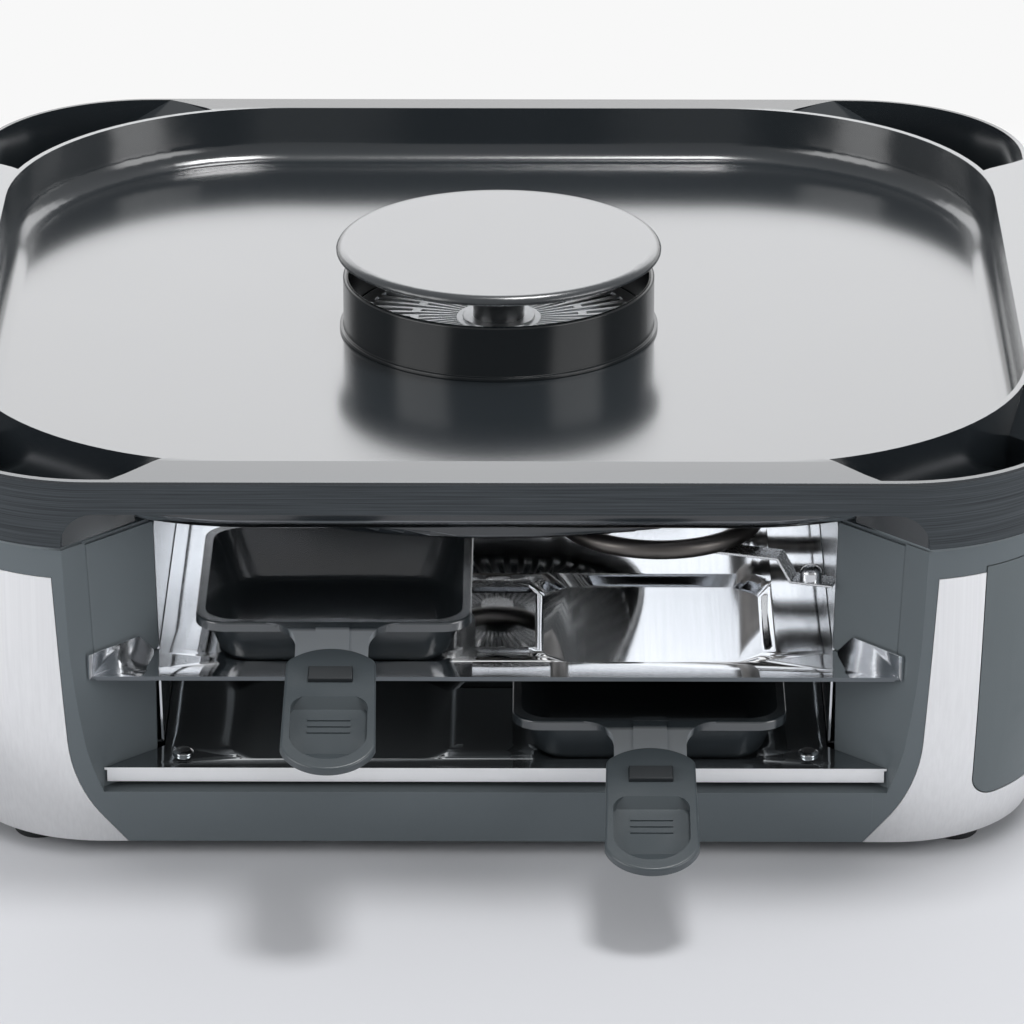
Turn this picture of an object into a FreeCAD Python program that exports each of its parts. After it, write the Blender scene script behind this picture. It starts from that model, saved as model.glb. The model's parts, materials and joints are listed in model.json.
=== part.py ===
import FreeCAD, Part
import math
import os

V = FreeCAD.Vector
ORIGIN = V(0, 0, 0)
UP = V(0, 0, 1)

# Raclette grill for eight small pans, four reached from the front and four from the rear.
# Millimetres. The origin is on the table under the chimney's axis, +Z up, the front faces -Y.

# Heights over the table
foot_height = 6.0
body_top = 126.4
rim_top = 156.0
side_straight_from = 96.0
cover_top = 115.5
panel_top = 118.0
panel_bottom = 22.0
panel_corner_r = 9.0
panel_edge_top_x = 177.4
panel_edge_low_x = 174.6
cover_edge_gap = 4.0
cover_edge_low_z = 50.0
cover_bend_x = 151.6
cover_bend_z = 31.0
cover_toe_x = 144.7
cover_toe_z = 18.6
cover_tip_x = 133.5

# Plan of the grill: rounded squares round the same four corner centres
plate_half = 215.0
plate_corner_r = 70.0
body_setback = 3.0
body_tuck = 13.0
housing_wall = 3.5
cover_sheet = 1.0
fit_gap = 0.3

# Grill plate
bowl_half = 197.65
bowl_corner_r = 110.0
bowl_depth = 22.0
bowl_draft = 1.0
bowl_fillet = 9.0
bowl_wall = 3.0
rib_drop = 5.1
rib_setback = 6.6
rib_width = 14.0
rib_round = 3.5
rib_side_gap = 5.0
plate_floor = 6.0
rim_slope_drop = 1.7
rim_edge_chamfer = 0.8
rim_slab = 4.0
skirt_wall = 2.8
band_height = 13.9
skirt_height = 27.4
arch_radius = 12.5
arch_start = 11.0
arch_toe = 1.1
skirt_side_reach = 15.0
pocket_lip = 2.2
pocket_tip_from_diagonal = 53.0
pocket_end_from_diagonal = 37.5
return_wall_from_diagonal = 40.5
pocket_ramp_drop = 13.0
well_depth = 75.0
well_wall = 2.0
plate_pad_r = 8.0
plate_pad_setback = 50.0
plate_pad_y = 60.0

# Chimney
chimney_r = 60.3
chimney_wall = 2.2
chimney_flange_r = 61.7
chimney_flange = 1.5
chimney_rise = 21.5
chimney_hole_r = 57.6
chimney_collar_wall = 2.0
grille_sheet = 1.2
grille_slots = 30
grille_slot_width = 3.2
cap_r = 62.85
cap_rise = 12.5
cap_edge = 3.7
stem_r = 10.0
stem_pin_r = 8.0

# Opening between the two towers, seen from the front, and how it narrows inwards
mouth_top_x = 156.0
mouth_low_x = 151.9
mouth_bend_x = 149.8
mouth_foot_x = 143.0
throat_top_x = 124.7
throat_low_x = 122.9
throat_bend_x = 122.5
throat_foot_x = 121.9
throat_setback = 35.0
lip_setback = 15.0
mouth_setback = 3.9
lip_bend_x = 143.4
lip_foot_x = 143.4
mouth_low_z = 52.0
mouth_bend_z = 39.5
sill_top = 28.4
sill_half = 138.0

# Shelves and pan seats
mid_shelf_top = 75.0
low_shelf_top = 36.0
shelf_sheet = 1.0
mid_shelf_setback = 9.0
low_shelf_setback = 15.0
shelf_side_gap = 0.3
hem_width = 3.0
hem_thick = 1.6
flange_height = 8.5
low_strip_height = 5.5
seat_depth = 3.0
seat_x = 57.6
seat_setback = 65.0
seat_half_x = 45.5
seat_half_y = 42.0
seat_floor_half_x = 40.0
seat_floor_half_y = 35.0
seat_corner_r = 9.0
link_half_x = 15.0
link_half_y = 27.0
link_depth = 1.2
link_corner_r = 4.0

# Pans
pan_half_x = 50.3
pan_half_y = 47.0
pan_corner_r = 11.0
pan_height = 20.5
pan_rim = 3.6
pan_rim_flat = 3.3
pan_wall = 1.8
pan_floor_half_x = 41.0
pan_floor_half_y = 36.6
pan_floor_corner_r = 12.0
pan_floor_fillet = 6.5
neck_half = 13.2
neck_flare_r = 11.0
neck_length = 26.0
neck_sheet = 3.0
neck_slope_deg = 15.5
tongue_half = 6.1
tongue_rise = 0.5

# Pan handles, measured along their own slope from the tip of the rounded shoulder
handle_start = 16.0
handle_length = 68.3
handle_half_front = 16.2
handle_half_back = 17.2
handle_shoulder_r = 21.0
handle_corner_r = 5.0
handle_edge = 3.0
handle_belly = 3.8
handle_belly_inset = 4.0
handle_belly_end_inset = 6.5
handle_belly_lip = 1.2
handle_above_neck = 1.3
handle_end_rise = 12.8
handle_edge_r = 1.0
handle_fit = 0.1
grip_start = 27.2
grip_length = 35.5
grip_end_rise = 12.0
grip_corner_r = 7.0
grip_half = 13.8
grip_depth = 3.4
grip_ridge_start = 36.9
grip_ridge_pitch = 3.45
grip_ridge_half = 7.7
nub_start = 12.2
nub_length = 7.4
nub_half = 8.0
nub_rise = 1.6
nub_sink = 2.0

# Heating element and its brackets
element_r = 3.5
element_z = 114.0
lobe_r = 36.2
lobe_x = 59.8
lobe_from_seat = 7.0
short_lobe_from_seat = 55.0
element_bend_r = 12.0
waist_from_seat = 75.0
terminal_y = 14.0
terminal_end_x = 140.0
terminal_block_half = 30.0
reflector_sheet = 0.8
liner_sheet = 1.6
liner_setback = 12.3
liner_slit = 0.5
bracket_z = 102.0
bracket_sheet = 1.0
bracket_width = 9.0
bracket_tab = 15.5
bracket_rise_run = 5.0
nut_from_jamb = 9.0
nut_r = 4.0
nut_height = 5.0

# Controls in the right tower
panel_sheet = 2.4
knob_z = 74.0
knob_r = 19.0
knob_skirt = 3.0
pointer_half = 1.1
knob_length = 15.0
knob_boss_r = 23.0
knob_boss_rise = 1.6
shaft_r = 3.0
shaft_play = 0.05
bushing_r = 5.0
thermostat_size = 30.0
thermostat_depth = 20.0
lamp_y = -48.0
lamp_r = 5.0
lamp_length = 16.0
gland_y = 75.0
gland_z = 42.0
gland_bore_r = 3.8
gland_r = 6.5
gland_flange_r = 9.0
gland_boss_r = 11.0
gland_length = 18.0

# Feet and screws
foot_setback_x = 45.0
foot_setback_y = 39.0
foot_r = 9.0
base_sheet = 2.5
screw_x = 115.0
screw_setback = 28.0
screw_head_r = 3.8
screw_head = 1.6
bottom_screw_near = 60.0
bottom_screw_inset = 5.1

# Values that follow
core = plate_half - plate_corner_r
body_r = plate_corner_r - body_setback
body_foot_r = body_r - body_tuck
bowl_core = bowl_half - bowl_corner_r
floor_z = rim_top - bowl_depth
bowl_under_z = floor_z - plate_floor
skirt_z = rim_top - skirt_height
band_z = rim_top - band_height
base_r = body_foot_r - housing_wall - 0.4
throat_y = plate_half - throat_setback
lip_y = plate_half - lip_setback
mouth_y = plate_half - mouth_setback
mid_shelf_front = plate_half - mid_shelf_setback
low_shelf_front = plate_half - low_shelf_setback
liner_front_y = plate_half - liner_setback
seat_y = plate_half - seat_setback
screw_y = plate_half - screw_setback
lobe_y = seat_y - lobe_from_seat
short_lobe_y = seat_y - short_lobe_from_seat
element_waist_y = seat_y - waist_from_seat
plate_pad_x = plate_half - plate_pad_setback
foot_x = plate_half - foot_setback_x
foot_y = plate_half - foot_setback_y
bottom_screw_far = core + base_r - bottom_screw_inset
handle_thick = handle_edge + handle_belly
reach = 2 * plate_half
above = 2 * rim_top
pan_play = {"upper": (-1.5, 0.0), "lower": (-1.2, -0.1)}
seat_floor_z = {"upper": mid_shelf_top - seat_depth, "lower": low_shelf_top - seat_depth}


def outline(start, *steps):
    """Closed wire. A step is an end point, or a pair: a point on an arc and the arc's end."""
    edges = []
    here = start
    for step in steps:
        if isinstance(step, tuple):
            through, end = step
            edges.append(Part.Arc(here, through, end).toShape())
        else:
            end = step
            edges.append(Part.makeLine(here, end))
        here = end
    if here.distanceToPoint(start) > 1e-6:
        edges.append(Part.makeLine(here, start))
    return Part.Wire(edges)


def section(start, *steps):
    """Face in the XZ plane; points are (radius, height) pairs."""
    def lift(point):
        return V(point[0], 0, point[1])

    lifted = [(lift(s[0]), lift(s[1])) if isinstance(s[0], tuple) else lift(s) for s in steps]
    return Part.Face(outline(lift(start), *lifted))


def rounded_block(core_x, core_y, face):
    """Solid with a rounded-rectangle plan: the half section `face` is swept round a core rectangle."""
    on_axis = [v.Z for v in face.Vertexes if v.X < 1e-6]
    low = min(on_axis)
    high = max(on_axis)
    pieces = [Part.makeBox(2 * core_x, 2 * core_y, high - low, V(-core_x, -core_y, low))]
    corners = [(core_x, core_y, core_y), (-core_x, core_y, core_x),
               (-core_x, -core_y, core_y), (core_x, -core_y, core_x)]
    for quarter, (corner_x, corner_y, run) in enumerate(corners):
        for piece in (face.revolve(ORIGIN, UP, 90), face.extrude(V(0, -2 * run, 0))):
            piece.rotate(ORIGIN, UP, 90 * quarter)
            piece.translate(V(corner_x, corner_y, 0))
            pieces.append(piece)
    return pieces[0].multiFuse(pieces[1:]).removeSplitter()


def slab(core_x, radius, low, high, core_y=None):
    """Straight-sided rounded rectangle of height low to high."""
    face = section((0, low), (radius, low), (radius, high), (0, high))
    return rounded_block(core_x, core_x if core_y is None else core_y, face)


def rounded_rectangle(half_x, half_y, radius, z):
    """Wire of a rounded rectangle round the origin at height z."""
    cut = radius * (1 - math.sqrt(0.5))
    x = half_x
    y = half_y
    return outline(V(x, -y + radius, z), V(x, y - radius, z),
                   (V(x - cut, y - cut, z), V(x - radius, y, z)), V(-x + radius, y, z),
                   (V(-x + cut, y - cut, z), V(-x, y - radius, z)), V(-x, -y + radius, z),
                   (V(-x + cut, -y + cut, z), V(-x + radius, -y, z)), V(x - radius, -y, z),
                   (V(x - cut, -y + cut, z), V(x, -y + radius, z)))


def tray(top_half, low_half, radius, top, low):
    """Loft between two rounded rectangles given by their half sizes."""
    wires = [rounded_rectangle(low_half[0], low_half[1], radius, low),
             rounded_rectangle(top_half[0], top_half[1], radius, top)]
    return Part.makeLoft(wires, True, True)


def revolved(start, *steps):
    return section(start, *steps).revolve(ORIGIN, UP, 360)


def box(low, high):
    return Part.makeBox(high[0] - low[0], high[1] - low[1], high[2] - low[2], V(*low))


def prism_y(wire_points, y_low, y_high):
    """Prism along Y of a closed outline whose points are (x, z) pairs."""
    face = section(wire_points[0], *wire_points[1:])
    face.translate(V(0, y_low, 0))
    return face.extrude(V(0, y_high - y_low, 0))


def corner_prism(points):
    """Prism along the +X+Y diagonal, over the corner; points are (distance from it, height) pairs."""
    start = core
    solid = Part.Face(outline(*[V(p[0], start, p[1]) for p in points])).extrude(V(0, reach, 0))
    solid.rotate(ORIGIN, UP, -45)
    return solid


def mirror_x(shape):
    return shape.mirror(ORIGIN, V(1, 0, 0))


def mirror_y(shape):
    return shape.mirror(ORIGIN, V(0, 1, 0))


def four_turns(shape):
    return [shape.rotated(ORIGIN, UP, 90 * turn) for turn in range(4)]


def fuse(shapes):
    return shapes[0].multiFuse(shapes[1:]).removeSplitter()


def body_block(inset, low, high):
    """The body's outer form, straight at the top and tucked in towards the table."""
    foot = foot_height
    top_r = body_r - inset
    foot_r = body_foot_r - inset
    arc_r = ((side_straight_from - foot) ** 2 + body_tuck ** 2) / (2 * body_tuck)

    def radius_at(z):
        drop = side_straight_from - z
        return top_r - (arc_r - math.sqrt(arc_r ** 2 - drop ** 2))

    middle = (side_straight_from + foot) / 2
    face = section((0, foot), (foot_r, foot), ((radius_at(middle), middle), (top_r, side_straight_from)),
                   (top_r, body_top), (0, body_top))
    block = rounded_block(core, core, face)
    if low > foot or high < body_top:
        block = block.common(box((-reach, -reach, low), (reach, reach, high)))
    return block


def throat_x(z):
    """Half width of the straight part of the opening at height z."""
    share = (body_top - z) / (body_top - mouth_low_z)
    return throat_top_x - (throat_top_x - throat_low_x) * share


def mouth_x(z):
    """Half width of the opening at the body's front face at height z."""
    share = (body_top - z) / (body_top - mouth_low_z)
    return mouth_top_x - (mouth_top_x - mouth_low_x) * share


def jamb_x(y, z):
    """Half width of the opening on its splayed jamb."""
    share = (y - throat_y) / (mouth_y - throat_y)
    return throat_x(z) + (mouth_x(z) - throat_x(z)) * share


def opening_widths(y):
    """Half widths of the opening at depth y: at height mouth_low_z, at the bend and at the foot."""
    share = (lip_y - throat_y) / (mouth_y - throat_y)
    lip_low_x = throat_low_x + (mouth_low_x - throat_low_x) * share
    throat = (throat_low_x, throat_bend_x, throat_foot_x)
    lip = (lip_low_x, lip_bend_x, lip_foot_x)
    mouth = (mouth_low_x, mouth_bend_x, mouth_foot_x)
    if y <= lip_y:
        share = (y - throat_y) / (lip_y - throat_y)
        return [a + (b - a) * share for a, b in zip(throat, lip)]
    share = (y - lip_y) / (mouth_y - lip_y)
    return [a + (b - a) * share for a, b in zip(lip, mouth)]


def low_jamb_x(y, z):
    """Half width of the opening at depth y in the rounded part over the sill."""
    low, bend, foot = opening_widths(y)
    arc = Part.Arc(V(low, y, mouth_low_z), V(bend, y, mouth_bend_z), V(foot, y, sill_top)).toShape().Curve
    return arc.Center.x + math.sqrt(arc.Radius ** 2 - (z - arc.Center.z) ** 2)


def opening_wire(y, top):
    """Outline of the opening at depth y, open upwards to height top."""
    high = jamb_x(y, top)
    low, bend, foot = opening_widths(y)
    return outline(V(high, y, top), V(low, y, mouth_low_z),
                   (V(bend, y, mouth_bend_z), V(foot, y, sill_top)), V(-foot, y, sill_top),
                   (V(-bend, y, mouth_bend_z), V(-low, y, mouth_low_z)), V(-high, y, top))


def opening_tool(top):
    """Space between the towers: straight in the middle, splayed out to both faces in two steps."""
    outside = mouth_y + 3 * mouth_setback
    middle = Part.Face(opening_wire(throat_y, top)).extrude(V(0, -2 * throat_y, 0))
    pieces = [middle]
    for inner, outer in ((throat_y, lip_y), (lip_y, outside)):
        splay = Part.makeLoft([opening_wire(inner, top), opening_wire(outer, top)], True, True)
        pieces += [splay, mirror_y(splay)]
    return fuse(pieces)


def pocket_plan(low, high, outer_gap, inner_gap):
    """Crescent between the bowl's round corner and the outer corner, at all four corners."""
    outer = slab(core, plate_corner_r - outer_gap, low, high)
    inner = slab(bowl_core, bowl_corner_r + inner_gap, low - 1, high + 1)
    return outer.cut(inner)


# Grill plate: cast bowl with a sloping rim, a deep skirt at the corners and a crescent pocket in each
def grill_plate():
    edge = plate_corner_r
    slope_start = bowl_half - core
    low = rim_top - rim_slab
    slope_end = rim_top - rim_slope_drop
    rim = rounded_block(core, core, section(
        (0, low), (edge, low), (edge, slope_end - rim_edge_chamfer), (edge - rim_edge_chamfer, slope_end),
        (slope_start, rim_top), (0, rim_top)))
    band = slab(core, edge, band_z, low).cut(slab(core, edge - skirt_wall, band_z - 1, low + 1))
    skirt = slab(core, edge, skirt_z, low).cut(slab(core, edge - skirt_wall, skirt_z - 1, low + 1))
    side = core + skirt_side_reach
    ends = [box((side, -reach, 0), (reach, reach, above)), box((-reach, -reach, 0), (-side, reach, above))]
    sides = skirt.common(fuse(ends))
    arch_x = core + arch_start - arch_radius
    arches = []
    for x in (arch_x, -arch_x):
        toe = box((min(x, x * arch_toe), -reach, skirt_z), (max(x, x * arch_toe), reach, low))
        arch = Part.makeCylinder(arch_radius, 2 * reach, V(x, -reach, band_z - arch_radius), V(0, 1, 0))
        arches.append(skirt.common(toe).cut(arch))
    tub_plan = slab(core, edge, skirt_z, low)
    inner_wall = slab(bowl_core, bowl_corner_r - bowl_draft, skirt_z - 1, low + 1)
    wall_reach = return_wall_from_diagonal
    tub_limit = corner_prism([(-wall_reach, 0), (wall_reach, 0), (wall_reach, above), (-wall_reach, above)])
    ledge_reach = pocket_tip_from_diagonal + skirt_wall
    ledge_limit = corner_prism([(-ledge_reach, band_z), (ledge_reach, band_z),
                                (ledge_reach, above), (-ledge_reach, above)])
    limits = fuse(four_turns(tub_limit) + four_turns(ledge_limit))
    tubs = tub_plan.cut(inner_wall).common(limits)
    bowl_out = bowl_corner_r + bowl_wall
    bowl = rounded_block(bowl_core, bowl_core, bowl_section(bowl_out, bowl_under_z, low, bowl_fillet))
    whole = fuse([rim, band, sides, tubs, bowl] + round_ribs() + arches)
    cavity = rounded_block(bowl_core, bowl_core,
                           bowl_section(bowl_corner_r, floor_z, rim_top + 1, bowl_fillet))
    plan = pocket_plan(bowl_under_z - 2, rim_top + 1, skirt_wall, pocket_lip)
    ramp_top = rim_top - 1.0
    tip = pocket_tip_from_diagonal
    end = pocket_end_from_diagonal
    shaft = corner_prism([(-tip, above), (tip, above), (tip, ramp_top), (end, ramp_top - pocket_ramp_drop),
                          (end, 0), (-end, 0), (-end, ramp_top - pocket_ramp_drop), (-tip, ramp_top)])
    pockets = plan.common(fuse(four_turns(shaft)))
    hole = Part.makeCylinder(chimney_hole_r, 40, V(0, 0, bowl_under_z - 5))
    return whole.cut(cavity).cut(pockets).cut(hole)


def round_ribs():
    """Two ribs of one circle under the bowl, front and rear, between the towers."""
    outer = bowl_half + bowl_wall - bowl_draft - rib_setback
    inner = outer - rib_width
    low = bowl_under_z - rib_drop
    high = bowl_under_z + plate_floor / 2
    cut = rib_round * (1 - math.sqrt(0.5))
    ring = revolved((inner, low), (outer - rib_round, low),
                    ((outer - cut, low + cut), (outer, low + rib_round)), (outer, high), (inner, high))
    half = throat_low_x - rib_side_gap
    front = ring.common(box((-half, -reach, 0), (half, -inner / 2, above)))
    return [front, mirror_y(front)]


def bowl_section(top_r, low, high, fillet):
    """Half section of a bowl with drafted wall and a round where it meets the floor."""
    foot_r = top_r - bowl_draft
    slant = fillet * (1 - math.sqrt(0.5))
    return section((0, low), (foot_r - fillet, low),
                   ((foot_r - slant, low + slant), (foot_r, low + fillet)), (top_r, high), (0, high))


# Chimney: ring with a flange on the plate's floor, grille on a ledge inside, and a mushroom cap
def chimney_ring():
    top = floor_z + chimney_rise
    flange_top = floor_z + chimney_flange
    inner = chimney_r - chimney_wall
    collar = chimney_hole_r - fit_gap
    bore = collar - chimney_collar_wall
    ledge = grille_z()
    return revolved((bore, floor_z - plate_floor - 1), (collar, floor_z - plate_floor - 1), (collar, floor_z),
                    (chimney_flange_r, floor_z), (chimney_flange_r, flange_top), (chimney_r, flange_top),
                    (chimney_r, top - 0.6), (chimney_r - 0.6, top), (inner + 0.6, top), (inner, top - 0.6),
                    (inner, ledge), (bore, ledge))


def grille_z():
    return floor_z + chimney_flange + 1.0


def curved_slot(inner_r, outer_r, bend_deg, width):
    """Radial slot with round ends whose middle line leans over by bend_deg on its way out."""
    half = width / 2

    def on_circle(radius, degrees, offset):
        angle = math.radians(degrees)
        return V(radius * math.cos(angle) - offset * math.sin(angle),
                 radius * math.sin(angle) + offset * math.cos(angle), 0)

    middle_r = (inner_r + outer_r) / 2
    middle_deg = bend_deg * 0.3
    left = [on_circle(r, a, half) for r, a in ((inner_r, 0), (middle_r, middle_deg), (outer_r, bend_deg))]
    right = [on_circle(r, a, -half) for r, a in ((inner_r, 0), (middle_r, middle_deg), (outer_r, bend_deg))]
    tip = on_circle(outer_r + half, bend_deg, 0)
    tail = on_circle(inner_r - half, 0, 0)
    wire = outline(left[0], (left[1], left[2]), (tip, right[2]), (right[1], right[0]), (tail, left[0]))
    return Part.Face(wire).extrude(V(0, 0, 10))


def chimney_grille():
    outer = chimney_r - chimney_wall - fit_gap
    z = grille_z()
    disc = Part.makeCylinder(outer, grille_sheet, V(0, 0, z))
    hub = Part.makeCylinder(stem_r + 4, grille_sheet + 0.8, V(0, 0, z))
    plate = disc.fuse(hub)
    cuts = [Part.makeCylinder(stem_pin_r + fit_gap, 10, V(0, 0, z - 4))]
    outer_slot = curved_slot(39.0, 51.0, 9.0, grille_slot_width)
    inner_slot = curved_slot(21.0, 41.0, 14.0, grille_slot_width)
    pitch = 360.0 / grille_slots
    for index in range(grille_slots):
        slot = outer_slot if index % 2 else inner_slot
        cuts.append(slot.rotated(ORIGIN, UP, pitch * index).translated(V(0, 0, z - 4)))
    return plate.cut(Part.makeCompound(cuts)).removeSplitter()


def chimney_cap():
    top = rim_top + cap_rise
    seat = grille_z() + grille_sheet + 0.8
    return revolved((0, top), (cap_r - 3.4, top),
                    ((cap_r - 1.0, top - 0.8), (cap_r, top - 2.2)), (cap_r, top - cap_edge + 0.8),
                    (cap_r - 1.2, top - cap_edge), (24.0, rim_top + 1.5),
                    ((13.5, rim_top - 5.0), (stem_r, rim_top - 14.0)), (stem_r, seat), (stem_pin_r, seat),
                    (stem_pin_r, seat - 7.0), (0, seat - 7.0))


# Towers: plastic side housings with the wells below the plate's pockets
def tower_right():
    outer = body_block(0, foot_height, body_top)
    side = outer.common(box((throat_foot_x + 3, -reach, 0), (reach, reach, above)))
    side = side.cut(opening_tool(body_top + 5))
    sill_zone = box((0, -reach, 0), (sill_half, reach, sill_top + 0.01))
    inner_zone = box((0, -throat_y + 2, 0), (throat_top_x + 3, throat_y - 2, body_top + 1))
    side = side.cut(sill_zone).cut(inner_zone)
    inner = body_block(housing_wall, foot_height, body_top - housing_wall)
    hollow = inner.common(box((throat_top_x + 6, -throat_y + 8, 0), (reach, throat_y - 8, above)))
    jamb_guard = grown_opening(4.0)
    well_floor = rim_top - well_depth
    tub = well_tool(well_floor - well_wall, body_top, -well_wall)
    side = side.cut(hollow.cut(jamb_guard).cut(tub))
    side = side.cut(well_tool(well_floor, body_top + 1, 0.0))
    return side.cut(cover_room())


def grown_opening(grow):
    """The opening's splayed space made wider by `grow`, to leave wall behind the jambs."""
    tool = opening_tool(body_top + 5)
    moved = [tool.translated(V(grow, 0, 0)), tool.translated(V(grow, grow * 0.7, 0)),
             tool.translated(V(grow, -grow * 0.7, 0))]
    return fuse(moved)


def well_tool(low, high, gap):
    """Crescent space under the plate's pockets of the right tower."""
    plan = pocket_plan(low, high, body_setback + housing_wall + gap, pocket_lip + 1.5 + gap)
    wide = pocket_end_from_diagonal - 2.0 - gap
    shaft = corner_prism([(-wide, 0), (wide, 0), (wide, above), (-wide, above)])
    wells = plan.common(fuse(four_turns(shaft)))
    return wells.common(box((0, -reach, 0), (reach, reach, above)))


def cover_profile(gap):
    """Front view of the right steel cover: a leaning edge that runs out in a toe along the bottom."""
    top = cover_top + gap
    edge_top = mouth_top_x + cover_edge_gap - gap
    edge_low = mouth_low_x + cover_edge_gap - gap
    return [(reach, top), (edge_top, top), (edge_low, cover_edge_low_z),
            ((cover_bend_x - gap, cover_bend_z), (cover_toe_x - gap, cover_toe_z)),
            (cover_tip_x - gap, foot_height - 2), (reach, foot_height - 2)]


def panel_profile(gap):
    """Front view of the window in the right cover and of the panel that fills it."""
    radius = panel_corner_r
    left_top = panel_edge_top_x + gap
    left_low = panel_edge_low_x + gap
    low = panel_bottom + gap
    cut = radius * (1 - math.sqrt(0.5))
    return [(reach, panel_top - gap), (left_top, panel_top - gap), (left_low, low + radius),
            ((left_low + cut, low + cut), (left_low + radius, low)), (reach, low)]


def cover_room():
    """What the steel cover takes out of the surface on the right side."""
    cover = body_block(-1, foot_height, body_top).cut(body_block(cover_sheet + 0.1, foot_height, body_top))
    return cover.common(prism_y(cover_profile(0.2), -reach, reach))


def panel_room():
    """What the control panel takes out of the right tower's surface."""
    panel = body_block(-1, foot_height, body_top).cut(body_block(panel_sheet + 0.1, foot_height, body_top))
    return panel.common(prism_y(panel_profile(-0.1), -reach, reach))


def steel_shell(thickness):
    return body_block(0, foot_height, body_top).cut(body_block(thickness, foot_height, body_top))


def right_cover():
    shell = steel_shell(cover_sheet).common(prism_y(cover_profile(0), -reach, reach))
    return shell.cut(prism_y(panel_profile(0), -reach, reach))


def left_cover():
    return mirror_x(steel_shell(cover_sheet).common(prism_y(cover_profile(0), -reach, reach)))


def side_x(z):
    """X of the body's right face at height z."""
    if z >= side_straight_from:
        return core + body_r
    arc_r = ((side_straight_from - foot_height) ** 2 + body_tuck ** 2) / (2 * body_tuck)
    drop = side_straight_from - z
    return core + body_r - (arc_r - math.sqrt(arc_r ** 2 - drop ** 2))


def rod_x(x_low, x_high, y, z, radius):
    return Part.makeCylinder(radius, x_high - x_low, V(x_low, y, z), V(1, 0, 0))


def turned_x(profile, x, y, z):
    """Body of revolution about +X; the profile's heights run along X from x."""
    solid = revolved(*profile)
    solid.rotate(ORIGIN, V(0, 1, 0), 90)
    solid.translate(V(x, y, z))
    return solid


def knob_boss_x():
    return side_x(knob_z) + knob_boss_rise


def gland_boss_x():
    return side_x(gland_z + gland_boss_r) + 0.6


# Control panel: plastic insert in the right cover, with flat bosses for the knob and the gland
def control_panel():
    sheet = steel_shell(panel_sheet).common(prism_y(panel_profile(fit_gap), -reach, reach))
    sheet = sheet.common(box((0, -reach, 0), (reach, reach, above)))
    knob_boss = rod_x(core, knob_boss_x(), 0, knob_z, knob_boss_r)
    gland_boss = rod_x(core, gland_boss_x(), gland_y, gland_z, gland_boss_r)
    within = body_block(panel_sheet / 2, foot_height, body_top)
    panel = fuse([sheet, knob_boss.cut(within), gland_boss.cut(within)])
    return panel.cut(Part.makeCompound(control_holes()))


def control_holes():
    """Holes that the knob's bushing, the lamp and the gland take through panel and tower."""
    out = plate_half + 20
    return [rod_x(core, out, 0, knob_z, bushing_r + fit_gap),
            rod_x(core, out, lamp_y, knob_z, lamp_r + fit_gap / 2),
            rod_x(core, out, gland_y, gland_z, gland_r + fit_gap / 2)]


def thermostat_knob():
    base = knob_boss_x() + fit_gap
    skirt = knob_skirt
    face = base + knob_length
    knob = turned_x([(0, 0), (knob_r, 0), (knob_r, skirt - 0.8), (knob_r - 0.8, skirt),
                     (knob_r - 3.5, skirt + 0.8), (knob_r - 5.0, knob_length - 1.5),
                     (knob_r - 6.5, knob_length), (0, knob_length)], base, 0, knob_z)
    pointer = box((face - 0.4, -pointer_half, knob_z + 2), (face + 0.8, pointer_half, knob_z + knob_r - 7))
    socket = rod_x(base - 1, face - 4, 0, knob_z, shaft_r + shaft_play)
    return knob.fuse(pointer).cut(socket)


def knob_shaft():
    base = knob_boss_x() + fit_gap
    return rod_x(thermostat_back_x() + 4, base + knob_length - 4.2, 0, knob_z, shaft_r)


def thermostat_back_x():
    return side_x(knob_z - thermostat_size / 2) - housing_wall - fit_gap - thermostat_depth


def thermostat():
    back = thermostat_back_x()
    half = thermostat_size / 2
    can = box((back, -half, knob_z - half), (back + thermostat_depth, half, knob_z + half))
    bushing = rod_x(back + thermostat_depth - 1, knob_boss_x() - 0.5, 0, knob_z, bushing_r)
    bore = rod_x(back + 3, knob_boss_x() + 5, 0, knob_z, shaft_r + shaft_play)
    return fuse([can, bushing]).cut(bore)


def indicator_lamp():
    face = side_x(knob_z) + 1.0
    return turned_x([(0, 0), (lamp_r, 0), (lamp_r, lamp_length - 1.6),
                     ((lamp_r * 0.78, lamp_length - 0.5), (lamp_r * 0.3, lamp_length)), (0, lamp_length)],
                    face - lamp_length, lamp_y, knob_z)


def cord_gland():
    face = gland_boss_x()
    tail = gland_length - 5.0
    return turned_x([(gland_bore_r, 0), (gland_r, 0), (gland_r, tail), (gland_flange_r, tail),
                     (gland_flange_r, tail + 1.6), (gland_r - 0.6, gland_length), (gland_bore_r, gland_length)],
                    face - tail, gland_y, gland_z)


# Sills, base and feet
def front_sill():
    inner_y = throat_y - 2
    zone = box((-sill_half, -reach, foot_height), (sill_half, -inner_y, sill_top))
    sill = body_block(0, foot_height, body_top).common(zone)
    room_half = sill_half - housing_wall
    room = box((-room_half, -reach, 0), (room_half, -inner_y + 1, sill_top - 3.0))
    sill = sill.cut(body_block(housing_wall, foot_height, body_top).common(room))
    posts = [Part.makeCylinder(5.0, low_shelf_top - shelf_sheet - sill_top + 1, V(x, -screw_y, sill_top - 1))
             for x in (-screw_x, screw_x)]
    room = cover_room()
    return fuse([sill] + posts).cut(base_room()).cut(room).cut(mirror_x(room))


def base_pan():
    return slab(core, base_r, foot_height, foot_height + base_sheet)


def base_room():
    """Room that the base plate takes inside the towers and sills."""
    return slab(core, base_r + 0.1, foot_height - 1, foot_height + base_sheet)


def feet():
    foot = revolved((0, 0), (foot_r - 1.2, 0), (foot_r - 0.4, 0.8), (foot_r, foot_height), (0, foot_height))
    return Part.makeCompound([foot.translated(V(x, y, 0))
                              for x in (-foot_x, foot_x) for y in (-foot_y, foot_y)])


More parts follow.
